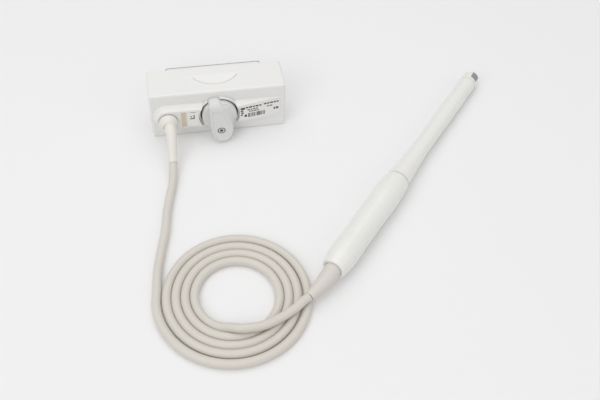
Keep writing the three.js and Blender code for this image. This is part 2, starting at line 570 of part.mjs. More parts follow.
function buildArray() {
  const arcBand = (r0, r1, halfWidth, reach) => {
    const points = [];
    for (let i = 0; i <= 16; i++) points.push([r1, -reach + (i / 16) * 2 * reach]);
    for (let i = 16; i >= 0; i--) points.push([r0, -reach + (i / 16) * 2 * reach]);
    const outline = points.map(([r, a]) => [TIP.centre - 3 + r * Math.cos(a), r * Math.sin(a)]);
    return prism(outline, "xzy", -halfWidth, halfWidth);
  };
  place(probe, "transducer_array", arcBand(6.2, 7.2, 3.3, 1.35), CERAMIC);
  place(probe, "backing_block", arcBand(1.2, 5.9, 3.3, 1.3), BACKING);
  const carrier = cut(block(294, 322.9, -4.4, 4.4, -4.6, 4.6), block(290, 330, -3.6, 3.6, -3.8, 3.8));
  place(probe, "array_carrier", carrier, STEEL);
  place(probe, "flex_circuit_upper", block(240, 320.5, -2.8, 2.8, 5.2, 5.5), FLEX_AMBER);
  place(probe, "flex_circuit_lower", block(240, 320.5, -2.8, 2.8, -5.5, -5.2), FLEX_AMBER);
  place(probe, "coax_bundle", rod(3.2, "yzx", 111, 290, 0, 0, 12), SEAL_BLACK);
}

buildShells();
buildCaseScrews();
buildFront();
buildPlug();
buildShield();
buildCableEntry();
buildLoom();
buildLever();
buildSkirt();
buildShaft();
buildCable();
buildHandle();
buildNeckAndTip();
buildArray();

export default part;
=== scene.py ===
"""Looks for an endocavity ultrasound transducer: system connector, coiled cable and end-fire probe."""

import json
import logging
import math
from dataclasses import dataclass
from enum import Enum
from functools import cache
from typing import Callable, Iterable, Mapping, Sequence

import bmesh
import bpy
import numpy as np
from mathutils import Matrix


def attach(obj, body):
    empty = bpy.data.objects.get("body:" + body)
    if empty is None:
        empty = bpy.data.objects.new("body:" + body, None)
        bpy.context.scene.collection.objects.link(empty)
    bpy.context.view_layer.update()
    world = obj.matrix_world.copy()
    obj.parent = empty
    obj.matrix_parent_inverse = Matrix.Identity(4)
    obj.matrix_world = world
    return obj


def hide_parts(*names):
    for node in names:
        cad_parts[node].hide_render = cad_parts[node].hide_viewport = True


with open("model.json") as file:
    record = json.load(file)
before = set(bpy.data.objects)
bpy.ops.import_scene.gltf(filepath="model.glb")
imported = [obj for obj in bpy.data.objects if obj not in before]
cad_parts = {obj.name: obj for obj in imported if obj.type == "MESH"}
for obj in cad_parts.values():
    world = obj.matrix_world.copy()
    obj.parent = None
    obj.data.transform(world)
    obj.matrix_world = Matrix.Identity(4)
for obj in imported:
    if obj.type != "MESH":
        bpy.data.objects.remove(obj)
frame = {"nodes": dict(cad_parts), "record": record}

Array = np.ndarray
Piece = bpy.types.Object
Socket = bpy.types.NodeSocket
Numbers = Sequence[float]
Table = Sequence[Sequence[float]]
Pair = tuple[float, float]
Triple = tuple[float, float, float]
Lay = Callable[[Array], Array]

LOG = logging.getLogger("transducer")
MM = 0.001  # the tables below are in millimetres, and the scene is in metres
DOUBLE = 1e-6  # metres: points closer than this are one point
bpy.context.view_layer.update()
CONNECTOR_AT = np.array([-119.3, 92.0, 0.0])
AXIS_Z = 29.5  # the height of the lever's and the plug's middle
AXIS_AT = CONNECTOR_AT + [0, 0, AXIS_Z]


# ---- shader graphs
class Graph:
    """A material's node graph, with its shader and output."""

    def __init__(self, name: str) -> None:
        """Make the material with one Principled shader."""
        self.material = bpy.data.materials.new(name)
        self.material.use_nodes = True
        self.tree = self.material.node_tree
        self.tree.nodes.clear()
        self.shader = self.tree.nodes.new("ShaderNodeBsdfPrincipled")
        output = self.tree.nodes.new("ShaderNodeOutputMaterial")
        self.tree.links.new(self.shader.outputs[0], output.inputs["Surface"])

    def node(self, kind: str, inputs: Mapping[object, object], output: int | str = 0,
             **settings: object) -> Socket:
        """Add a node.

        Args:
            kind: the node's type.
            inputs: values or other nodes' sockets, by the input's name or number.
            output: the output to return.
            settings: the node's properties.

        Returns:
            The output's socket.
        """
        node = self.tree.nodes.new(kind)
        for key, value in settings.items():
            setattr(node, key, value)
        for key, value in inputs.items():
            self.feed(node.inputs[key], value)
        return node.outputs[output]

    def feed(self, socket: Socket, value: object) -> None:
        """Link another socket to this one, or set its own value."""
        if isinstance(value, Socket):
            self.tree.links.new(value, socket)
        else:
            socket.default_value = value

    def set(self, **inputs: object) -> None:
        """Set or link the shader's sockets; underscores stand for spaces."""
        for key, value in inputs.items():
            self.feed(self.shader.inputs[key.replace("_", " ")], value)

    def noise(self, scale: float, detail: float, stretch: Numbers = (1, 1, 1)) -> Socket:
        """A noise value between 0 and 1 in the object's own coordinates, which are scaled first."""
        point = self.node("ShaderNodeTexCoord", {}, "Object")
        point = self.node("ShaderNodeMapping", {"Vector": point, "Scale": tuple(stretch)})
        return self.node("ShaderNodeTexNoise", {"Vector": point, "Scale": scale, "Detail": detail})

    def blend(self, factor: Socket, first: Numbers, second: Numbers) -> Socket:
        """Two colours mixed by a factor."""
        return self.node("ShaderNodeMix", {0: factor, 6: (*first, 1.0), 7: (*second, 1.0)}, 2,
                         data_type="RGBA")


class Grain(Enum):
    """How a finish's fine relief runs."""

    EVEN = (1.0, 1.0, 1.0)
    ALONG_X = (0.05, 1.0, 1.0)
    ALONG_Y = (1.0, 0.05, 1.0)


@dataclass(frozen=True)
class Finish:
    """A moulded, extruded or machined finish: two close tones, a roughness range and a fine grain."""

    slot: str
    tone: Triple
    rough: float
    shade: float = 0.05
    patch: float = 60.0
    grain_scale: float = 2600.0
    grain_depth: float = 0.00002
    grain: Grain = Grain.EVEN
    metal: float = 0.0
    coat: float = 0.0
    coat_rough: float = 0.12
    rough_swing: float = 0.04
    detail: float = 3.0

    def build(self) -> bpy.types.Material:
        """Make the material: tone by large soft patches, roughness and height by the grain.

        Returns:
            The finished material.
        """
        graph = Graph(self.slot)
        patches = graph.noise(self.patch, self.detail)
        grain = graph.noise(self.grain_scale, self.detail, self.grain.value)
        darker = tuple(channel * (1.0 - self.shade) for channel in self.tone)
        both = graph.node("ShaderNodeMath", {0: patches, 1: grain}, operation="ADD")
        rough = graph.node("ShaderNodeMath", {
            0: both, 1: self.rough_swing, 2: self.rough - self.rough_swing}, operation="MULTIPLY_ADD")
        relief = graph.node("ShaderNodeBump", {
            "Height": grain, "Distance": self.grain_depth, "Strength": 1.0})
        graph.set(Base_Color=graph.blend(patches, darker, self.tone), Roughness=rough, Normal=relief,
                  Metallic=self.metal, Coat_Weight=self.coat, Coat_Roughness=self.coat_rough)
        return graph.material


FINISHES: dict[str, Finish] = {f.slot: f for f in (
    Finish("housing", (0.835, 0.83, 0.813), 0.42, shade=0.025, grain_scale=2200, grain_depth=0.000012),
    Finish("front_trim", (0.84, 0.832, 0.805), 0.4, shade=0.025, grain_scale=2200, grain_depth=0.00001),
    Finish("label", (0.85, 0.845, 0.825), 0.33, shade=0.03, grain_scale=1500, grain_depth=0.000004),
    Finish("lever_grey", (0.73, 0.735, 0.725), 0.36, shade=0.04, grain_depth=0.00001),
    Finish("lever_black", (0.02, 0.02, 0.022), 0.55),
    Finish("steel", (0.56, 0.57, 0.58), 0.3, metal=1.0, grain_scale=1800, grain=Grain.ALONG_Y,
           grain_depth=0.000008),
    Finish("plated_metal", (0.62, 0.61, 0.59), 0.34, metal=1.0, grain_scale=1500, grain=Grain.ALONG_X,
           grain_depth=0.000008),
    Finish("brass", (0.70, 0.52, 0.25), 0.3, metal=1.0, grain_scale=1800, grain_depth=0.000008),
    Finish("gold", (0.86, 0.66, 0.28), 0.24, metal=1.0, grain_scale=2500, grain_depth=0.000005),
    Finish("insulator", (0.028, 0.028, 0.03), 0.5, grain_scale=2400),
    Finish("board", (0.02, 0.12, 0.05), 0.35, shade=0.25, patch=300, coat=0.4),
    Finish("black_rubber", (0.02, 0.02, 0.02), 0.7, grain_scale=1800, grain_depth=0.00003),
    Finish("relief_cream", (0.80, 0.775, 0.72), 0.46, shade=0.03, grain_scale=2000, coat=0.05),
    Finish("relief_pink", (0.70, 0.655, 0.61), 0.48, shade=0.04, grain_scale=2000),
    Finish("cable_jacket", (0.69, 0.655, 0.595), 0.45, shade=0.06, patch=26, grain_scale=1600,
           grain_depth=0.00003),
    Finish("probe_shell", (0.84, 0.835, 0.80), 0.28, shade=0.02, grain_scale=1600, grain_depth=0.000005,
           coat=0.25),
    Finish("lens", (0.30, 0.30, 0.315), 0.4, shade=0.08, grain_scale=1500, grain_depth=0.00001),
    Finish("ceramic", (0.28, 0.22, 0.14), 0.6, grain_scale=3000),
    Finish("backing", (0.03, 0.03, 0.035), 0.8, grain_scale=2500),
    Finish("flex", (0.40, 0.16, 0.03), 0.3, shade=0.2, patch=200, coat=0.3),
    Finish("ink", (0.045, 0.045, 0.05), 0.5, grain_scale=3000, grain_depth=0.000003),
    Finish("tan_ink", (0.70, 0.60, 0.45), 0.45, grain_scale=3000, grain_depth=0.000003),
    Finish("pale_ink", (0.70, 0.70, 0.70), 0.45, grain_scale=3000, grain_depth=0.000003),
)}


@cache
def paint(name: str) -> bpy.types.Material:
    """The material of a named finish, made once."""
    return FINISHES[name].build()


# ---- surfaces
def cubic(t: Array, h: Array, y: Array, slope: Array, i: Array) -> Array:
    """Cubics from knots i to i + 1 with those values and slopes, at shares t of their widths h."""
    return ((1 + 2 * t) * (1 - t) ** 2 * y[i] + t * (1 - t) ** 2 * h * slope[i]
            + t * t * (3 - 2 * t) * y[i + 1] + t * t * (t - 1) * h * slope[i + 1])


def smooth_table(at: Array, table: Table) -> Array:
    """Values between a table's knots on a smooth curve that doesn't overshoot.

    A cubic between each two knots, whose end slopes are the harmonic mean of the neighbouring chords
    where both rise or both fall, and nought at a turn.

    Args:
        at: where the values are wanted.
        table: rows of (place, value) with the place rising.

    Returns:
        The values.
    """
    x, y = np.array(table, dtype=float).T
    chord = np.diff(y) / np.diff(x)
    slope = np.concatenate([[chord[0]], np.zeros(len(x) - 2), [chord[-1]]])
    same = chord[:-1] * chord[1:] > 0
    pair = chord[:-1] + chord[1:]
    slope[1:-1][same] = 2 * chord[:-1][same] * chord[1:][same] / pair[same]
    i = np.clip(np.searchsorted(x, at, side="right") - 1, 0, len(x) - 2)
    h = x[i + 1] - x[i]
    return cubic(np.clip((at - x[i]) / h, 0, 1), h, y, slope, i)


def soft_step(at: Array) -> Array:
    """A smooth rise from 0 to 1 as its argument goes from 0 to 1."""
    t = np.clip(at, 0, 1)
    return t * t * (3 - 2 * t)


def even_path(points: Array, step: float) -> Array:
    """A smooth path through points, in even steps.

    Each coordinate is a cubic of the chord length with Catmull-Rom end slopes; the result is walked at
    equal distances.

    Args:
        points: the points, in order.
        step: the distance between the new points.

    Returns:
        The new points.
    """
    s = np.concatenate([[0], np.cumsum(np.linalg.norm(np.diff(points, axis=0), axis=1))])
    slope = np.gradient(points, s, axis=0)
    fine = np.linspace(0, s[-1], int(s[-1] / step) * 4)
    i = np.clip(np.searchsorted(s, fine, side="right") - 1, 0, len(s) - 2)
    h = (s[i + 1] - s[i])[:, None]
    curve = cubic((fine - s[i])[:, None] / h, h, points, slope, i)
    walked = np.concatenate([[0], np.cumsum(np.linalg.norm(np.diff(curve, axis=0), axis=1))])
    at = np.linspace(0, walked[-1], int(round(walked[-1] / step)) + 1)
    return np.stack([np.interp(at, walked, curve[:, axis]) for axis in range(3)], axis=1)


def full_turn(sides: int) -> Array:
    """Angles that go once round, in radians."""
    return np.linspace(0, 2 * math.pi, sides, endpoint=False)


def stacked(loop: Array, axis: int, levels: Numbers) -> Array:
    """A flat loop of points repeated at each level along the axis that it lacks."""
    return np.stack([np.insert(loop, axis, level, axis=1) for level in levels])


def carried(path: Array, radii: Array, sides: int) -> Array:
    """Rings of a round section carried along a path.

    Each ring stands square to the path: its first axis is level, the second is the path's direction
    crossed with the first.

    Args:
        path: the centre line.
        radii: the radius at each of its points.
        sides: points in a ring.

    Returns:
        Points, by row along the path and column round it.
    """
    ahead = np.gradient(path, axis=0)
    ahead /= np.linalg.norm(ahead, axis=1)[:, None]
    level = np.cross(ahead, [0.0, 0.0, 1.0])
    level /= np.linalg.norm(level, axis=1)[:, None]
    over = np.cross(level, ahead)
    a = full_turn(sides)
    ring = np.cos(a)[None, :, None] * level[:, None] + np.sin(a)[None, :, None] * over[:, None]
    return path[:, None] + radii[:, None, None] * ring


def turned(profile: Array, sides: int, axis: str) -> Array:
    """A profile of (along, radius) points turned round the x or y axis.

    Each point sweeps a circle of its radius round the axis, at its distance along it.

    Args:
        profile: the points.
        sides: points in a circle.
        axis: "x" or "y".

    Returns:
        Points, by row along the profile and column round it.
    """
    a = full_turn(sides)
    along = np.repeat(profile[:, :1], sides, axis=1)
    u, v = profile[:, 1:] * np.cos(a), profile[:, 1:] * np.sin(a)
    return np.stack([along, u, v] if axis == "x" else [u, along, v], axis=2)


def fillet(corner: Numbers, radius: float, start: float, end: float, steps: int = 6) -> Array:
    """An arc round a centre, from one angle to another, in degrees."""
    a = np.radians(np.linspace(start, end, steps))
    return np.stack([corner[0] + radius * np.cos(a), corner[1] + radius * np.sin(a)], axis=1)


def linked(name: str, data: bpy.types.ID) -> Piece:
    """A new object in the scene."""
    obj = bpy.data.objects.new(name, data)
    bpy.context.scene.collection.objects.link(obj)
    return obj


def grid_mesh(name: str, points: Array, wrap_rows: bool = False, caps: bool = True) -> Piece:
    """A closed mesh from rings of points in millimetres.

    Neighbouring rings are joined by quads and each ring closes on itself. The last ring joins the
    first, or one face closes each end; rings that shrink to a point are merged.

    Args:
        name: the object's name.
        points: rows of rings, in the part's frame.
        wrap_rows: join the last ring to the first.
        caps: close the two ends.

    Returns:
        The object, in metres, with its faces outwards.
    """
    rows, cols = points.shape[:2]
    index = np.arange(rows * cols).reshape(rows, cols)
    ahead = np.roll(index, -1, axis=0) if wrap_rows else index[1:]
    here = index if wrap_rows else index[:-1]
    quads = np.stack([here, np.roll(here, -1, axis=1), np.roll(ahead, -1, axis=1), ahead], axis=-1)
    mesh = bpy.data.meshes.new(name)
    faces = quads.reshape(-1, 4).tolist()
    if caps and not wrap_rows:
        faces += [index[0][::-1].tolist(), index[-1].tolist()]
    mesh.from_pydata((points.reshape(-1, 3) * MM).tolist(), [], faces)
    bm = bmesh.new()
    bm.from_mesh(mesh)
    bmesh.ops.remove_doubles(bm, verts=bm.verts, dist=DOUBLE)
    bmesh.ops.dissolve_degenerate(bm, edges=bm.edges, dist=DOUBLE / 10)
    bmesh.ops.recalc_face_normals(bm, faces=bm.faces)
    bm.to_mesh(mesh)
    bm.free()
    return linked(name, mesh)


def frozen(obj: Piece) -> Piece:
    """Apply an object's modifiers to its mesh."""
    graph = bpy.context.evaluated_depsgraph_get()
    mesh = bpy.data.meshes.new_from_object(obj.evaluated_get(graph))
    obj.modifiers.clear()
    obj.data = mesh
    return obj


def carve(obj: Piece, *cutters: Piece, keep: bool = False) -> Piece:
    """Take cutters away from an object, or keep only what they share with it.

    Args:
        obj: the object.
        cutters: the solids, which are deleted afterwards.
        keep: keep the shared part instead.

    Returns:
        The object.
    """
    for cutter in cutters:
        modifier = obj.modifiers.new("carve", "BOOLEAN")
        modifier.operation = "INTERSECT" if keep else "DIFFERENCE"
        modifier.solver = "EXACT"
        modifier.object = cutter
    frozen(obj)
    for cutter in cutters:
        bpy.data.meshes.remove(cutter.data)
    return obj


def box(x: Numbers, y: Numbers, z: Numbers, turn: Lay | None = None) -> Piece:
    """A cutter's plain block, in millimetres, turned by a function of its points."""
    ring = np.array([[x[0], z[0]], [x[1], z[0]], [x[1], z[1]], [x[0], z[1]]])
    points = stacked(ring, 1, y)
    return grid_mesh("cutter", turn(points) if turn else points)


def bar(radius: float, y: Numbers, x: float, z: float, sides: int = 96) -> Piece:
    """A cutter's round bar along y, in millimetres."""
    profile = np.array([[y[0], radius], [y[1], radius]])
    return grid_mesh("cutter", turned(profile, sides, "y") + [x, 0, z])


def joined(name: str, parts: Iterable[Piece]) -> Piece:
    """Several objects' meshes in one object."""
    bm = bmesh.new()
    for part in parts:
        bm.from_mesh(part.data)
        bpy.data.meshes.remove(part.data)
    mesh = bpy.data.meshes.new(name)
    bm.to_mesh(mesh)
    bm.free()
    return linked(name, mesh)


def finished(obj: Piece, slot: str, *nodes: str, body: str = "root", bevel: float = 0.0,
             sharp: float = 32.0, finish: str | None = None) -> Piece:
    """Shade, dress and place a piece.

    Args:
        obj: the piece, in its place.
        slot: the record's material slot.
        nodes: the CAD nodes that it replaces.
        body: the CAD body that it rides on.
        bevel: the width of rounded edges, in millimetres.
        sharp: edges over this angle, in degrees, stay sharp.
        finish: the finish, where it isn't the slot's own.

    Returns:
        The piece.
    """
    if bevel:
        modifier = obj.modifiers.new("edges", "BEVEL")
        modifier.width, modifier.segments = bevel * MM, 2
        modifier.limit_method, modifier.angle_limit = "ANGLE", math.radians(sharp)
        frozen(obj)
    obj.data.shade_smooth()
    obj.data.set_sharp_from_angle(angle=math.radians(sharp))
    weighted = obj.modifiers.new("normals", "WEIGHTED_NORMAL")
    weighted.keep_sharp = True
    obj.data.materials.clear()
    obj.data.materials.append(paint(finish or slot))
    if nodes:
        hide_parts(*nodes)
    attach(obj, body)
    LOG.info("%s: %d faces", obj.name, len(obj.data.polygons))
    return obj


def refined(node: str, slot: str, body: str = "root", bevel: float = 0.2, sharp: float = 32.0) -> None:
    """Replace a CAD node by a copy with merged points, rounded edges and smooth shading.

    Args:
        node: the CAD node.
        slot: its material slot.
        body: its body.
        bevel: the width of its rounded edges, in millimetres.
        sharp: edges over this angle, in degrees, are rounded and stay crisp.
    """
    obj = linked(f"{node}_fine", frame["nodes"][node].data.copy())
    bm = bmesh.new()
    bm.from_mesh(obj.data)
    bmesh.ops.remove_doubles(bm, verts=bm.verts, dist=DOUBLE)
    bmesh.ops.dissolve_limit(bm, angle_limit=math.radians(1.0), verts=bm.verts, edges=bm.edges)
    bm.to_mesh(obj.data)
    bm.free()
    finished(obj, slot, node, body=body, bevel=bevel, sharp=sharp)


# ---- stage
@dataclass
class Studio:
    """Camera, floor and lights, placed in metres."""

    place: Triple = (-0.1651, -0.5119, 0.6043)
    right: Triple = (0.9827, -0.1806, 0.0405)
    up: Triple = (0.1132, 0.7596, 0.6404)
    back: Triple = (-0.1464, -0.6248, 0.7669)
    lens: float = 45.94
    film: float = 36.0
    clip: Pair = (0.01, 50.0)
    floor_half: float = 6.0
    floor_tones: tuple[Triple, Triple] = ((0.785, 0.785, 0.788), (0.79, 0.79, 0.793))
    floor_patch: float = 3.0
    floor_glow: float = 0.08
    sky: float = 0.54
    boxes: tuple = (("overhead", (-0.1, 0.3, 1.9), 2.2, 15.5), ("front", (-1.5, -1.4, 1.8), 1.6, 16.0),
                    ("fill", (1.5, -1.1, 1.5), 1.4, 3.5))

    @staticmethod
    def aimed(name: str, data: bpy.types.ID, axes: Table, place: Numbers) -> Piece:
        """A camera or light at a place, with its own three axes along the given ones."""
        obj = linked(name, data)
        turn = Matrix(axes).transposed().to_4x4()
        turn.translation = place
        obj.matrix_world = turn
        return obj

    def camera(self) -> None:
        """Place the camera by its three axes and make it the scene's."""
        data = bpy.data.cameras.new("camera")
        data.lens, data.sensor_width = self.lens, self.film
        data.clip_start, data.clip_end = self.clip
        axes = (self.right, self.up, self.back)
        bpy.context.scene.camera = self.aimed("camera", data, axes, self.place)

    def floor(self) -> None:
        """A wide pale floor under the object."""
        half = self.floor_half
        mesh = bpy.data.meshes.new("floor")
        mesh.from_pydata([(-half, -half, 0), (half, -half, 0), (half, half, 0), (-half, half, 0)], [],
                         [(0, 1, 2, 3)])
        graph = Graph("floor")
        tone = graph.blend(graph.noise(self.floor_patch, 2.0), *self.floor_tones)
        graph.set(Base_Color=tone, Roughness=0.6, Specular_IOR_Level=0.2,
                  Emission_Color=(1.0, 1.0, 1.0, 1.0), Emission_Strength=self.floor_glow)
        mesh.materials.append(graph.material)
        linked("floor", mesh)

    def lights(self) -> None:
        """An even white surround, and soft boxes overhead and in front that face the floor's middle."""
        world = bpy.data.worlds.new("surround")
        bpy.context.scene.world = world
        world.use_nodes = True
        sky = world.node_tree.nodes["Background"]
        sky.inputs["Color"].default_value = (1.0, 1.0, 1.0, 1.0)
        sky.inputs["Strength"].default_value = self.sky
        for name, place, size, power in self.boxes:
            data = bpy.data.lights.new(name, "AREA")
            data.shape, data.size, data.energy = "SQUARE", size, power
            back = np.array(place) / np.linalg.norm(place)
            side = np.cross([0.0, 1.0, 0.01], back)
            side /= np.linalg.norm(side)
            self.aimed(name, data, (side, np.cross(back, side), back), place)
        view = bpy.context.scene.view_settings
        view.view_transform, view.look, view.exposure, view.gamma = "Standard", "None", 0.0, 1.0


# ---- cable
@dataclass
class Cable:
    """The cable: down from the connector, round the flat coil, and up over it to the probe."""

    diameter: float = 8.5
    rest: float = 4.25
    centre: Pair = (-130.8, -127.1)
    start_radius: float = 72.1
    start_angle: float = 167.0
    sweep: float = 1490.0
    inward: tuple = ((0, 0.0), (120, 2.9), (238, 5.9), (360, 9.4), (480, 12.4), (598, 15.2), (720, 18.0),
                     (1080, 26.55), (1490, 36.3))
    step_angle: float = 15.0
    step: float = 2.0
    lead: tuple = (
        (-173.8, 40.4, 10.6), (-174.3, 34.5, 8.0), (-175.1, 28.0, 6.0), (-176.2, 20.5, 4.8),
        (-177.9, 12.5, 4.3), (-180.1, 3.5, 4.3), (-184.5, -16.5, 4.3), (-188.2, -41.4, 4.3),
        (-193.6, -65.0, 4.3), (-198.4, -87.7, 4.3))
    rise: tuple = ((229, 35.7, 4.45), (240, 35.6, 5.3), (249, 35.7, 6.8), (257, 36.4, 9.0),
                   (265, 38.3, 11.4), (273, 40.4, 12.8))
    tail: tuple = (
        (-121.4, -168.0, 13.1), (-113.4, -168.0, 13.15), (-104.2, -166.0, 13.15), (-94.6, -162.4, 13.15),
        (-88.6, -159.7, 13.15), (-83.0, -156.6, 13.2), (-78.0, -153.7, 13.4), (-74.4, -151.1, 13.55),
        (-70.4, -148.0, 13.75), (-64.9, -145.0, 13.9))
    reliefs: tuple = (
        ("connector_relief", "relief_cream",
         ((-174.0, 91.0, 29.4), (-173.4, 78.0, 29.4), (-172.5, 70.0, 28.2), (-172.4, 62.0, 24.7),
          (-172.9, 54.0, 19.6), (-173.5, 47.0, 14.8), (-173.8, 41.0, 11.0)),
         ((0, 6.2), (0.3, 6.2), (0.40, 5.9), (0.52, 5.4), (0.75, 5.0), (1, 4.7))),
        ("probe_relief", "relief_pink",
         ((-64.4, -144.6, 13.9), (-57.6, -139.5, 14.8), (-50.5, -134.0, 16.1), (-43.5, -127.6, 17.1),
          (-37.8, -121.2, 17.5), (-33.1, -116.0, 17.35)),
         ((0, 4.7), (0.14, 5.4), (0.42, 7.1), (0.83, 8.4), (1, 8.4))))

    def around(self, angle: Array, radius: Array, height: Array | float) -> Array:
        """Points at angles in degrees, radii and heights about the coil's centre."""
        a = np.radians(angle)
        x, y = self.centre
        return np.stack([x + radius * np.cos(a), y + radius * np.sin(a), height + 0 * a], axis=1)

    def route(self) -> Array:
        """The cable's centre line.

        The coil's radius falls smoothly, by a little more than one diameter a turn, as the angle grows;
        the lead and the tail join it on one smooth curve.

        Returns:
            Points in millimetres, in even steps.
        """
        swept = np.arange(0.0, self.sweep + 1.0, self.step_angle)
        radius = self.start_radius - smooth_table(swept, self.inward)
        coil = self.around(self.start_angle + swept, radius, self.rest)
        up = self.around(*np.array(self.rise).T)
        return even_path(np.concatenate([np.array(self.lead), coil, up, np.array(self.tail)]), self.step)

    def cord(self) -> None:
        """The cable itself, a round jacket carried along its route."""
        path = self.route()
        cable = grid_mesh("cable", carried(path, np.full(len(path), self.diameter / 2), 24))
        finished(cable, "cable_jacket", "cable_lead", "cable_coil", "cable_tail", sharp=60)

    def strain_reliefs(self) -> None:
        """The two tapered strain reliefs: each a smooth profile carried along a short route."""
        for node, slot, route, profile in self.reliefs:
            path = even_path(np.array(route), 1.0)
            rings = carried(path, smooth_table(np.linspace(0, 1, len(path)), profile), 48)
            finished(grid_mesh(f"{node}_soft", rings), slot, node, bevel=0.4, sharp=50)


# ---- connector
@dataclass
class Case:
    """The connector's two shells, with the raised front that carries the cable and labels."""

    width: float = 145.0
    depth: float = 41.0
    height: float = 58.0
    wall: float = 2.4
    corner: float = 2.6
    edge: float = 1.3
    front_edge: float = 2.3
    parting: float = 29.2
    gap: float = 0.45
    window: Triple = (105.8, 42.8, 3.4)
    boss_out: float = 8.0
    draft: float = 2.8
    boss_round: float = 1.6
    ramp_x: float = 18.0
    ramp_end: float = 70.5
    room: float = 21.95
    shaft_hole: float = 7.4
    cable_x: float = -54.7
    cable_hole: float = 8.2
    screws: tuple = tuple((x, y) for x in (-64.5, 64.5) for y in (14, 32))
    screw_hole: float = 3.2
    under_scoop: float = 4.0
    scoop_at: Pair = (-0.5, 40.0)
    scoop_radius: float = 27.4
    scoop_depth: float = 3.4
    scoop_end: float = 27.5
    groove: Pair = (27.85, 28.3)
    groove_turn: Pair = (212.5, 328.5)
    groove_floor: float = 1.6
    boss_x: float = -55.0
    boss_half: Pair = (15.2, 13.4)
    boss_corner: float = 1.2
    collar: Pair = (8.3, 9.95)
    pocket_half: float = 10.6
    type_pocket: Pair = (-41.0, -22.5)
    rating_pocket: Pair = (3.4, 49.5)
    pocket_depth: float = 0.35

    @staticmethod
    def ring(width: float, height: float, corner: float, middle: float, steps: int = 10) -> Array:
        """A rectangle with round corners, in x and z, with points along its sides.

        Args:
            width: its width.
            height: its height.
            corner: its corners' radius.
            middle: the height of its middle.
            steps: points in a corner.

        Returns:
            The ring's points.
        """
        a, b = width / 2 - corner, height / 2 - corner
        arcs = [fillet(at, corner, start, start + 90, steps) for at, start in (
            ((a, b), 0), ((-a, b), 90), ((-a, -b), 180), ((a, -b), 270))]
        loop = []
        for i, arc in enumerate(arcs):
            after = arcs[(i + 1) % 4][0]
            side = arc[-1] + (after - arc[-1]) * np.linspace(0, 1, 10)[1:-1, None]
            loop += [arc, side]
        return np.concatenate(loop) + [0, middle]

    @staticmethod
    def rounded(radius: float, steps: int) -> list[Pair]:
        """The points of a round corner at (0, 0), from (radius, 0) to (0, radius)."""
        return [(radius * (1 - math.sin(a)), radius * (1 - math.cos(a)))
                for a in np.linspace(0, math.pi / 2, steps)]

    def shell(self, name: str) -> Piece:
        """The whole case, hollow and open at the plug's window.

        Rings of one rounded rectangle run from the window's inner edge out over the rear edge, along
        the sides, round the front edge, and back inside at one wall's depth.

        Args:
            name: the object's name.

        Returns:
            The object.
        """
        outer = [(self.depth - back, inset) for inset, back in self.rounded(self.edge, 6)]
        outer += [(self.depth * share, 0.0) for share in (0.7, 0.3)] + self.rounded(self.front_edge, 8)
        w, h, mid, i = self.width, self.height, self.height / 2, self.wall
        window, middle = self.ring(*self.window, AXIS_Z), self.ring(2, 2, 0.5, mid)
        low = self.under_scoop
        inner = self.ring(w - 2 * i, h - 2 * i - low, 0.8, mid - low / 2)
        rings = [(window, self.depth - i), (window, self.depth)]
        rings += [(self.ring(w - 2 * inset, h - 2 * inset, max(self.corner - inset, 0.6), mid), y)
                  for y, inset in outer]
        rings += [(middle, 0.0), (middle, i), (inner, i), (inner, self.depth - i)]
        return self.lofted(name, rings, wrap_rows=True)

    @staticmethod
    def lofted(name: str, rings: Iterable[tuple[Array, float]], wrap_rows: bool = False) -> Piece:
        """A mesh through rings of x and z points, each set at its depth y."""
        points = np.concatenate([stacked(ring, 1, (y,)) for ring, y in rings])
        return grid_mesh(name, points + CONNECTOR_AT, wrap_rows)

    def scallop(self) -> Piece:
        """The finger scoop's cutter: a round bar whose floor slopes up to the back."""
        a = full_turn(160)
        radius, depth, middle = self.scoop_radius, self.scoop_depth, self.scoop_at[1]
        x, y = self.scoop_at[0] + radius * np.cos(a), middle + radius * np.sin(a)
        front = middle - radius
        floor = self.height - depth + (y - front) * depth / (self.scoop_end - front)
        rings = [np.stack([x, y, floor + up], axis=1) for up in (0, 20)]
        return grid_mesh("cutter", np.stack(rings) + CONNECTOR_AT)

    def scoop_line(self) -> Piece:
        """The cutter of the fine groove that follows the scoop's curved edge."""
        near, far = (fillet(self.scoop_at, r, *self.groove_turn, 70) for r in self.groove)
        loop = np.concatenate([far, near[::-1]])
        rings = stacked(loop, 2, (self.height - self.groove_floor, self.height + 5))
        return grid_mesh("cutter", rings + CONNECTOR_AT)

    def shells(self) -> None:
        """Split the case at the parting line and cut its holes and scoop."""
        x, y, _ = CONNECTOR_AT
        far = 200.0
        halves = (("upper_shell", (-5, self.parting + self.gap / 2)),
                  ("lower_shell", (self.parting - self.gap / 2, 70)))
        for name, away in halves:
            cutters = [box((x - far, x + far), (y - 20, y + 70), away),
                       bar(self.shaft_hole, (y - 2, y + 6), x, AXIS_Z),
                       bar(self.cable_hole, (y - 2, y + 6), x + self.cable_x, AXIS_Z)]
            if name == "upper_shell":
                cutters += [self.scallop(), self.scoop_line()]
            else:
                cutters += [self.counterbore(x + across, y + back) for across, back in self.screws]
            finished(carve(self.shell(f"{name}_moulded"), *cutters), "housing", name, sharp=28)

    def counterbore(self, x: float, y: float) -> Piece:
        """The cutter of one screw's hole in the bottom."""
        a = full_turn(40)
        ring = np.stack([x + self.screw_hole * np.cos(a), y + self.screw_hole * np.sin(a)], axis=1)
        return grid_mesh("cutter", stacked(ring, 2, (-1.0, 4.0)))

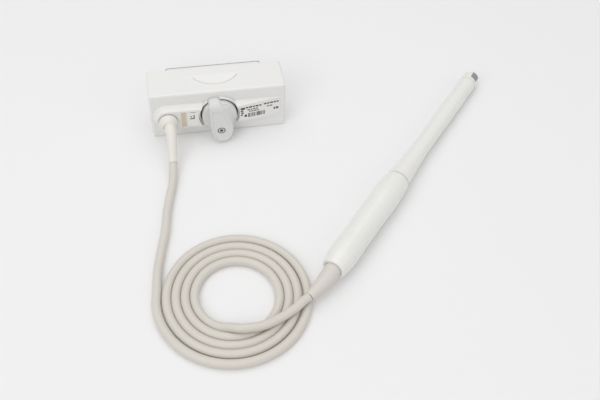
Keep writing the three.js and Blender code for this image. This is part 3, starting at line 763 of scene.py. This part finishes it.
    def outline(self, inset: float) -> Array:
        """The raised front's outline: a half round on the left, tapering to a square right end.

        Args:
            inset: how far inside the base outline.

        Returns:
            Points in x and z.
        """
        half, right_half = (value - inset for value in self.boss_half)
        right_x, corner = self.ramp_end - inset, self.boss_corner
        round_end = fillet((self.boss_x, 0.0), half, 90, 270, 40)
        low = fillet((right_x - corner, -right_half + corner), corner, 270, 360, 6)
        high = fillet((right_x - corner, right_half - corner), corner, 0, 90, 6)
        t = np.linspace(0, 1, 30)[1:-1, None]
        loop = [round_end, round_end[-1] + (low[0] - round_end[-1]) * t, low, high,
                high[-1] + (round_end[0] - high[-1]) * t]
        return np.concatenate(loop) + [0, AXIS_Z]

    def raised(self, name: str) -> Piece:
        """The raised front as one solid with drafted walls and a rounded upper edge."""
        straight = np.linspace(0, self.boss_out - self.boss_round, 8)
        levels = [(out, self.draft * out / self.boss_out) for out in straight]
        base = levels[-1][1]
        levels += [(self.boss_out - back, base + 1.1 * inset)
                   for back, inset in self.rounded(self.boss_round, 8)[1:]]
        return self.lofted(name, [(self.outline(inset), -out) for out, inset in levels])

    def on_ramp(self, points: Array) -> Array:
        """Lay points drawn on the ramp, x along it and y into it, in their place."""
        a = math.atan(self.boss_out / (self.ramp_end - self.ramp_x))
        x, y, z = np.moveaxis(points, -1, 0)
        return np.stack([x * math.cos(a) - y * math.sin(a) + self.ramp_x,
                         x * math.sin(a) + y * math.cos(a) - self.boss_out, z], axis=-1) + CONNECTOR_AT

    def front(self) -> None:
        """The cable's boss and the label's ramp, cut round for the lever."""
        x, y, z = AXIS_AT
        out, gland_x = (y - 20, y + 5), x + self.cable_x
        tall = (z - self.pocket_half, z + self.pocket_half)
        type_x = x + np.array(self.type_pocket)
        pocket_y = y - self.boss_out + self.pocket_depth
        boss = (bar(self.collar[0], out, gland_x, z), bar(self.collar[1], (y - 20, y - 7), gland_x, z),
                box(type_x, (y - 9, pocket_y), tall))
        ramp = (box((-20, 90), (-30, 0), (0, 60), self.on_ramp),
                box(self.rating_pocket, (-2, self.pocket_depth), tall, self.on_ramp))
        for name, away, cutters in (("cable_boss", (x, x + 90), boss), ("label_ramp", (x - 90, x), ramp)):
            piece = carve(self.raised(f"{name}_moulded"), bar(self.room, out, x, z, 160),
                          box(away, out, (0, 60)), *cutters)
            finished(piece, "front_trim", name, sharp=30)


@dataclass
class Labels:
    """The two printed films, with plain bars where the real ones are printed."""

    case: Case
    thick: float = 0.03
    proud: float = 0.04
    film_depth: float = 0.22
    half: float = 10.4
    type_span: Pair = (-40.7, -22.7)
    rating_span: Pair = (3.6, 49.3)
    type_bars: tuple = (
        ("stripe", "tan_ink", ((-40.6, -35.4, -10.1, 10.1),)),
        ("edge", "pale_ink", ((-35.0, -34.5, -10.1, 10.1), (-33.6, -31.6, 8.9, 9.3))),
        ("mark", "ink", ((-27.7, -26.7, -0.2, 5.4), (-31.8, -26.7, -0.3, 0.9),
                         (-30.9, -29.3, 2.3, 3.9), (-31.0, -25.3, 8.8, 9.3))))
    rows: tuple = (
        (6.2, 3.0, 4.8, 0.8, (4.8,)), (6.9, 2.0, 10.4, 0.7, (2.9, 3.7, 2.2, 3.4, 2.8)),
        (7.5, 1.9, 30.6, 0.7, (3.2, 2.6, 3.5, 2.4, 2.3)), (3.4, 1.5, 12.4, 0.7, (2.8, 1.6, 3.1, 2.1)),
        (3.4, 1.4, 34.2, 0.8, (2.3, 3.0)), (0.7, 1.4, 14.2, 0.7, (1.6, 2.6, 2.8, 1.8)),
        (-1.6, 3.0, 41.8, 0.9, (1.8, 2.6)), (-4.6, 3.2, 9.0, 0.8, (2.7,)))
    blocks: tuple = ((4.8, 7.6, 1.8, 3.8), (5.3, 7.9, -1.1, 1.0), (4.9, 6.9, -3.8, -1.9))
    code_span: Pair = (13.0, 32.0)
    code_rows: Pair = (-7.4, -1.6)
    code_bars: tuple = (0.25, 0.45, 0.8)
    code_gaps: tuple = (0.22, 0.34, 0.7)

    def film(self, node: str, span: Pair, face: float, lay: Lay) -> None:
        """A thin film with round corners.

        Args:
            node: the CAD node that it replaces.
            span: its start and end along the face.
            face: the depth of its outer face.
            lay: puts drawn points in place.
        """
        ring = Case.ring(span[1] - span[0], 2 * self.half, 1.0, AXIS_Z, 6) + [sum(span) / 2, 0]
        rings = stacked(ring, 1, (face, face + self.film_depth))
        finished(grid_mesh(f"{node}_film", lay(rings)), "label", node)

    def print_bars(self, name: str, bars: Table, finish: str, face: float,
                   lay: Lay) -> None:
        """Printed bars as thin raised rectangles.

        Args:
            name: the piece's name.
            bars: rows of (left, right, low, high) on the face.
            finish: the ink.
            face: the depth of the film's outer face.
            lay: puts drawn points in place.
        """
        parts = []
        for left, right, low, high in bars:
            ring = np.array([[left, low], [right, low], [right, high], [left, high]]) + [0, AXIS_Z]
            parts.append(grid_mesh("bar", lay(stacked(ring, 1, (face - self.thick, face)))))
        finished(joined(name, parts), "label", finish=finish)

    @staticmethod
    def words(row: float, high: float, at: float, space: float, lengths: Numbers) -> list:
        """A row of word-like bars: (left, right, low, high) for each length."""
        bars = []
        for length in lengths:
            bars.append((at, at + length, row - high / 2, row + high / 2))
            at += length + space
        return bars

    def build(self) -> None:
        """Both labels."""
        face = self.proud - self.case.boss_out
        flat = lambda points: points + CONNECTOR_AT
        self.film("type_label", self.type_span, face, flat)
        for name, ink, bars in self.type_bars:
            self.print_bars(f"type_label_{name}", bars, ink, face, flat)
        bars = [word for row in self.rows for word in self.words(*row)] + list(self.blocks)
        rng = np.random.default_rng(7)
        at, end = self.code_span
        while at < end:
            wide = float(rng.choice(self.code_bars))
            bars.append((at, at + wide, *self.code_rows))
            at += wide + float(rng.choice(self.code_gaps))
        self.film("rating_label", self.rating_span, self.proud, self.case.on_ramp)
        self.print_bars("rating_label_print", bars, "ink", self.proud, self.case.on_ramp)


@dataclass
class Gland:
    """The collar where the cable leaves the case."""

    x: float = -54.7
    bore: float = 6.75
    stem: float = 7.9
    stem_span: Pair = (10.0, -8.3)
    ball_at: float = -11.0
    ball_reach: float = 8.6
    ball_radius: float = 10.0
    ball_turn: Pair = (-0.31, 0.97)
    lip: Pair = (1.5, -0.4)
    floor: float = -9.0

    def build(self) -> None:
        """A bulbous collar: nearly a ball, turned round the cable's axis."""
        a = np.linspace(*self.ball_turn, 22)
        along, out = self.ball_at - self.ball_reach * np.sin(a), self.ball_radius * np.cos(a)
        dome = np.stack([along, out], axis=1)
        inner, outer = self.stem_span
        profile = np.concatenate([[[inner, self.bore], [inner, self.stem], [outer, self.stem]], dome,
                                  [dome[-1] + self.lip, [self.floor, self.bore]]])
        rings = turned(profile, 96, "y") + AXIS_AT + [self.x, 0, 0]
        finished(grid_mesh("cable_gland_moulded", rings, wrap_rows=True), "relief_cream", "cable_gland")


@dataclass
class Lever:
    """The locking lever: a round disc with a raised paddle across it."""

    disc_radius: float = 18.65
    disc_out: float = 8.4
    top: float = 21.0
    end: float = -25.6
    edge: float = 2.4
    ridge: float = 3.0
    ridge_turn: float = 0.8
    panel: float = 0.8
    panel_wall: float = 0.06
    wall_draft: float = 0.03
    flank_power: float = 1.5
    face_out: float = 13.5
    face_top: float = 22.0
    face_fall: Pair = (7.8, 49.0)
    panel_span: Pair = (-23.4, 12.5)
    panel_end: float = 1.2
    end_reach: Pair = (1.8, 6.5)
    end_drop: Pair = (1.8, 6.2)
    bore: float = 4.4
    disc_back: float = 0.8
    disc_round: float = 1.5
    recess: Pair = (3.0, 6.0)
    mark_at: Pair = (0.4, -11.6)
    mark_size: Pair = (4.3, 3.5)
    mark_rings: tuple = ((1.0, 0.76), (0.44, 0.0))
    mark_lift: Pair = (-0.3, 0.1)
    hoops: tuple = (("lever_rim", "lever_grey", 20.1, 21.8, 3.4, "front_trim"),
                    ("lever_seal", "lever_black", 18.8, 20.0, 2.6, None))
    hoop_round: float = 0.4
    notch_top: Pair = (-11.6, 1.2)
    notch_foot: Pair = (-11.2, 13.2)
    notch_reach: Pair = (8.0, 30.0)
    notch_floor: float = 1.05
    left: tuple = ((-25.6, 0.0), (-25.2, -3.0), (-24.2, -5.4), (-22, -7.4), (-15, -9.3), (-8, -10.6),
                   (0, -10.9), (15.5, -11.0), (18.2, -10.6), (19.4, -9.4), (20.2, -7.9), (20.8, -6.0),
                   (21.0, -4.6))
    right: tuple = ((-25.6, 0.0), (-25.3, 4.2), (-24.2, 7.0), (-21.4, 9.9), (-17, 12.0), (-12.5, 13.1),
                    (-9, 13.2), (-2, 11.4), (4, 9.0), (10, 6.3), (16.5, 3.2), (18.8, 1.6), (20.2, 0.0),
                    (20.8, -1.8), (21.0, -4.6))
    foot: tuple = ((-25.6, 0.02), (-25.3, 4.3), (-24.2, 7.2), (-21.4, 10.2), (-17, 12.4), (-12.5, 13.9),
                   (-9, 15.2), (-4, 16.6), (1, 17.0), (6, 16.2), (11, 13.4), (15, 9.0), (17.6, 4.2),
                   (19.2, 2.0), (20.2, 0.3), (20.8, -1.6), (21.0, -4.5))
    foot_out: tuple = ((-25.6, 8.85), (-16, 8.8), (-13, 8.3), (13.5, 8.3), (17.6, 1.6), (21.0, 1.5))
    under: tuple = ((-25.6, 8.85), (-17.6, 8.8), (-16.6, 6.0), (14.0, 6.0), (16.4, 1.5), (21.0, 1.5))

    def face(self, v: Array) -> Array:
        """How far the paddle's face stands out at a height, falling evenly towards the top."""
        return self.face_out + (self.face_top - v) / self.face_fall[1] * self.face_fall[0]

    def paddle(self) -> Array:
        """The paddle's sections, from its lower end to its top.

        Each section runs up the drafted left wall, round the edge, across the sloping face to the
        ridge, and down a flank that flattens as a power of the distance left; it closes underneath.
        The face falls away within one edge radius of either end.

        Returns:
            Points, by row up the lever and column round its section.
        """
        share = (1 - np.cos(np.linspace(0, math.pi, 150)))[:, None] / 2
        v = self.end + (self.top - self.end) * share
        left, right, foot = (smooth_table(v, t) for t in (self.left, self.right, self.foot))
        foot_out, under = smooth_table(v, self.foot_out), smooth_table(v, self.under)
        upper = np.array(v > 0, dtype=int)
        reach, drop = np.array(self.end_reach)[upper], np.array(self.end_drop)[upper]
        short = 1 - np.clip(np.minimum(self.top - v, v - self.end) / reach, 0, 1)
        face = self.face(v) - drop * (1 - np.sqrt(1 - short ** 2))
        r, ridge = (np.minimum(size, 0.45 * (right - left)) for size in (self.edge, self.ridge))
        t = np.linspace(0, 1, 9)[None]
        wall_p = under + t * (face - r - under)
        wall_x = left - self.wall_draft * (face - r - wall_p)
        a = np.linspace(0, math.pi / 2, 7)[None, 1:]
        edge_x, edge_p = left + r * (1 - np.cos(a)), face - r * (1 - np.sin(a))
        wall = self.panel_wall
        t = np.concatenate([np.linspace(0, wall, 7), np.linspace(wall, 1 - wall, 9)[1:],
                            np.linspace(1 - wall, 1, 7)[1:]])[None, 1:]
        face_x = left + r + t * (right - ridge - left - r)
        low, high = self.panel_span
        face_p = face - self.panel * (soft_step(t / wall) * soft_step((1 - t) / wall) * soft_step(
            (high - v) / self.panel_end) * soft_step((v - low) / self.panel_end))
        a = a * self.ridge_turn / (math.pi / 2)
        ridge_x = right - ridge + ridge * np.sin(a) / math.sin(self.ridge_turn)
        ridge_p = face - ridge * (1 - np.cos(a))
        t = np.linspace(0, 1, 26)[None, 1:]
        flank_x = right + t * (foot - right)
        crest = face - ridge * (1 - math.cos(self.ridge_turn))
        flank_p = foot_out + (crest - foot_out) * (1 - t) ** self.flank_power
        t = np.linspace(0, 1, 7)[None, :-1]
        under_x, under_p = foot + t * (left - foot), under + 0 * t
        x = np.concatenate([wall_x, edge_x, face_x, ridge_x, flank_x, under_x], axis=1)
        p = np.concatenate([wall_p, edge_p, face_p, ridge_p, flank_p, under_p], axis=1)
        return np.stack([x, -p, np.repeat(v, x.shape[1], axis=1) + AXIS_Z], axis=2)

    def build(self) -> None:
        """The lever, its rim and seal, and its mark."""
        corner, back, radius, out = self.disc_round, -self.disc_back, self.disc_radius, -self.disc_out
        dip, floor = self.recess[0], -self.recess[1]
        profile = np.concatenate([
            [[back, self.bore], [back, radius - 0.45], [back - 0.4, radius]],
            fillet((out + corner, radius - corner), corner, 90, 180, 8),
            [[out, dip], [out, 0.0], [floor, 0.0], [floor, self.bore]]])
        disc = grid_mesh("disc", turned(profile, 128, "y") + AXIS_AT, wrap_rows=True)
        paddle = grid_mesh("paddle", self.paddle() + CONNECTOR_AT)
        finished(joined("lever_moulded", [disc, paddle]), "lever_grey", "lever", body="lever", sharp=38)
        self.mark()
        self.round_hoops()

    def round_hoops(self) -> None:
        """Low rings round the disc, notched where the paddle crosses them."""
        x, y, z = AXIS_AT
        (near, far), open_y, soft = self.notch_reach, (y - 20, y - self.notch_floor), self.hoop_round
        for node, slot, inner, outer, out, finish in self.hoops:
            profile = np.concatenate([
                [[-0.4, inner], [-0.4, outer]], fillet((soft - out, outer - soft), soft, 90, 180, 4),
                fillet((soft - out, inner + soft), soft, 180, 270, 4)])
            ring = grid_mesh(f"{node}_moulded", turned(profile, 160, "y") + AXIS_AT, wrap_rows=True)
            carve(ring, box(x + np.array(self.notch_top), open_y, (z + near, z + far)),
                  box(x + np.array(self.notch_foot), open_y, (z - far, z - near)))
            finished(ring, slot, node, body="lever", sharp=38, finish=finish)

    def mark(self) -> None:
        """A ring and dot, the plain sign of a turning lock, inlaid in the paddle's face."""
        a = full_turn(64)
        (x, v), (wide, high), (low, top) = self.mark_at, self.mark_size, self.mark_lift
        parts = []
        for outer, inner in self.mark_rings:
            rings = []
            for share, lift in ((inner, low), (inner, top), (outer, top), (outer, low)):
                up = v + share * high * np.sin(a)
                out = self.face(up) - self.panel + lift
                rings.append(np.stack([x + share * wide * np.cos(a), -out, up], axis=1))
            parts.append(grid_mesh("ring", np.stack(rings) + AXIS_AT, wrap_rows=True))
        finished(joined("lever_mark", parts), "lever_black", body="lever", finish="ink")


@dataclass
class Plug:
    """The plug on the back: contacts in two blocks inside a metal shroud, round the locking shaft."""

    pitch: Pair = (1.75, 4.4)
    columns: int = 19
    rows: int = 6
    block_x: float = 29.5
    block_y: float = 46.7
    pin_foot: float = 0.55
    pin_head: float = 0.35
    pin_out: float = 1.1
    strip: tuple = ((104.2, 41.2, 3.0, 52.1), (104.2, 41.2, 3.0, 52.7), (103.0, 40.0, 2.4, 52.7),
                    (103.0, 40.0, 2.4, 52.1))

    def pins(self, name: str, side: int, node: str) -> None:
        """Rows of small contacts on one block, each a blunt four-sided pyramid.

        Args:
            name: the piece's name.
            side: -1 on the left, 1 on the right.
            node: the CAD node that they replace.
        """
        square = np.array([[-1, -1], [1, -1], [1, 1], [-1, 1]])
        one = np.stack([np.insert(square * self.pin_foot, 1, 0.0, axis=1),
                        np.insert(square * self.pin_head, 1, self.pin_out, axis=1)]) + AXIS_AT
        middle = np.array([self.columns - 1, self.rows - 1]) / 2
        parts = []
        for place in np.ndindex(self.columns, self.rows):
            x, z = (place - middle) * self.pitch
            parts.append(grid_mesh("pin", one + [side * self.block_x + x, self.block_y, z]))
        finished(joined(name, parts), "gold", node)

    def build(self) -> None:
        """The plug's pieces."""
        for side, sign in (("left", -1), ("right", 1)):
            refined(f"contact_block_{side}", "insulator", bevel=0.4)
            self.pins(f"contact_pins_{side}", sign, f"contact_pads_{side}")
        refined("plug_shroud", "front_trim", bevel=0.25)
        rings = [(Case.ring(*ring, AXIS_Z), y) for *ring, y in self.strip]
        strip = Case.lofted("grounding_strip_rolled", rings, wrap_rows=True)
        finished(strip, "steel", "grounding_strip", bevel=0.12)
        refined("shroud_gasket", "black_rubber", bevel=0.4)
        refined("shaft_sleeve", "brass", bevel=0.3)
        refined("lever_shaft", "steel", "lever", bevel=0.2, sharp=40)
        refined("locking_bar", "steel", "lever", bevel=0.5)


# ---- probe
@dataclass
class Probe:
    """The probe: a handle in two halves, a long neck, and a round tip with its lens."""

    place: Triple = (-37.8, -121.2, 17.5)
    yaw: float = 48.35
    dip: float = 1.23
    roll: float = 33.0
    wall: float = 1.8
    gap: float = 0.07
    tip_centre: float = 327.8
    tip_radius: float = 9.6
    lens_width: float = 8.3
    lens_back: float = 322.7
    seam: float = 134.8
    neck_end: float = 318.5
    joint: float = 0.3
    proud: float = 0.25
    lens_gap: float = 0.15
    mouth: Pair = (4.0, 8.75)
    handle: tuple = ((0, 10.4), (0.5, 11.1), (1.4, 11.7), (4, 12.3), (9, 13), (16, 14), (26, 14.3),
                     (44, 13.9), (62, 14), (84, 14.2), (104, 14.7), (118, 14.3), (126, 13.9), (131, 13.4),
                     (133.2, 12.95), (134.4, 12.5), (134.8, 12.0))
    neck: tuple = ((135.8, 11.9), (136.1, 12.3), (142, 11.9), (149, 11.4), (160, 10.6), (172, 9.9),
                   (184, 9.3), (197, 9.1), (220, 9.2), (250, 9.4), (285, 9.5), (305, 9.3),
                   (318.3, 9.5), (318.5, 9.4))

    def laid(self, points: Array) -> Array:
        """Points in the probe's own frame, turned by roll, dip and yaw and moved to its place."""
        turn = np.eye(3)
        for angle, (i, j) in ((self.yaw, (0, 1)), (self.dip, (2, 0)), (self.roll, (1, 2))):
            c, s = math.cos(math.radians(angle)), math.sin(math.radians(angle))
            step = np.eye(3)
            step[i, i], step[i, j], step[j, i], step[j, j] = c, -s, s, c
            turn = turn @ step
        return points @ turn.T + self.place

    def handle_half(self, name: str, upper: bool) -> None:
        """One half of the handle: at each place along it, a half ring of the wall's thickness.

        Args:
            name: the CAD node that it replaces.
            upper: the half above the parting plane.
        """
        knots = np.array([row[0] for row in self.handle])
        along = np.unique(np.concatenate([np.linspace(0, self.seam, 150), knots]))
        outer = smooth_table(along, self.handle)
        inner = np.where(along <= self.mouth[0], self.mouth[1], outer - self.wall)
        a = np.linspace(0, math.pi, 64) if upper else np.linspace(math.pi, 2 * math.pi, 64)
        sign = 1.0 if upper else -1.0
        loops = []
        for radius, angles in ((outer, a), (inner, a[::-1])):
            y = radius[:, None] * np.cos(angles)[None]
            z = radius[:, None] * np.sin(angles)[None]
            z = sign * np.maximum(sign * z, self.gap / 2)
            loops.append(np.stack([np.repeat(along[:, None], len(a), axis=1), y, z], axis=2))
        finished(grid_mesh(f"{name}_moulded", self.laid(np.concatenate(loops, axis=1))),
                 "probe_shell", name, sharp=35)

    def head(self, name: str, grow: float) -> Piece:
        """The tip's solid: a short straight and a quarter circle to the pole, turned round the axis.

        Args:
            name: the object's name.
            grow: how far its surface stands out from the tip's own.

        Returns:
            The object.
        """
        radius, start = self.tip_radius + grow, self.neck_end + self.joint
        arc = fillet((self.tip_centre, 0.0), radius, 90, 0, 28)
        profile = np.concatenate([[[start, 0.0], [start, radius]], arc])
        return grid_mesh(name, self.laid(turned(profile, 128, "x")), caps=False)

    def band(self, half: float, back: float) -> Piece:
        """A cutter across the tip, as wide as the lens."""
        ring = np.array([[-half, -20.0], [half, -20.0], [half, 20.0], [-half, 20.0]])
        return grid_mesh("cutter", self.laid(stacked(ring, 0, (back, 360.0))))

    def build(self) -> None:
        """The probe's outer pieces."""
        self.handle_half("handle_upper_shell", True)
        self.handle_half("handle_lower_shell", False)
        refined("neck_gasket", "relief_pink", bevel=0.08)
        knots = np.array([row[0] for row in self.neck])
        along = np.unique(np.concatenate([np.linspace(self.seam + 1.0, self.neck_end, 120), knots]))
        outer = np.stack([along, smooth_table(along, self.neck)], axis=1)
        profile = np.concatenate([outer, (outer - [0, self.wall])[::-1]])
        neck = grid_mesh("neck_moulded", self.laid(turned(profile, 96, "x")), wrap_rows=True)
        finished(neck, "probe_shell", "neck_shell", sharp=35)
        half, gap = self.lens_width / 2, self.lens_gap
        tip = carve(self.head("tip_moulded", 0.0), self.band(half + gap, self.lens_back - gap))
        finished(tip, "probe_shell", "tip_shell", bevel=0.25, sharp=40)
        lens = carve(self.head("lens_moulded", self.proud), self.band(half, self.lens_back), keep=True)
        finished(lens, "lens", "acoustic_lens", bevel=0.35, sharp=40)


def dress_rest() -> None:
    """Give every CAD node that still shows its slot's finish."""
    slots = {row["node"]: row["material_slot"] for row in frame["record"]["subparts"]}
    for name, obj in frame["nodes"].items():
        if name in slots:
            obj.data.materials.clear()
            obj.data.materials.append(paint(slots[name]))


def main() -> None:
    """Build everything in order."""
    logging.basicConfig(level=logging.INFO, format="%(name)s: %(message)s")
    studio = Studio()
    studio.camera()
    cable = Cable()
    cable.cord()
    cable.strain_reliefs()
    case = Case()
    case.shells()
    case.front()
    Labels(case).build()
    Gland().build()
    Lever().build()
    Plug().build()
    for number in range(1, 5):
        refined(f"case_screw_{number}", "steel", bevel=0.15)
    Probe().build()
    dress_rest()
    studio.floor()
    studio.lights()


if __name__ == "__main__":
    main()
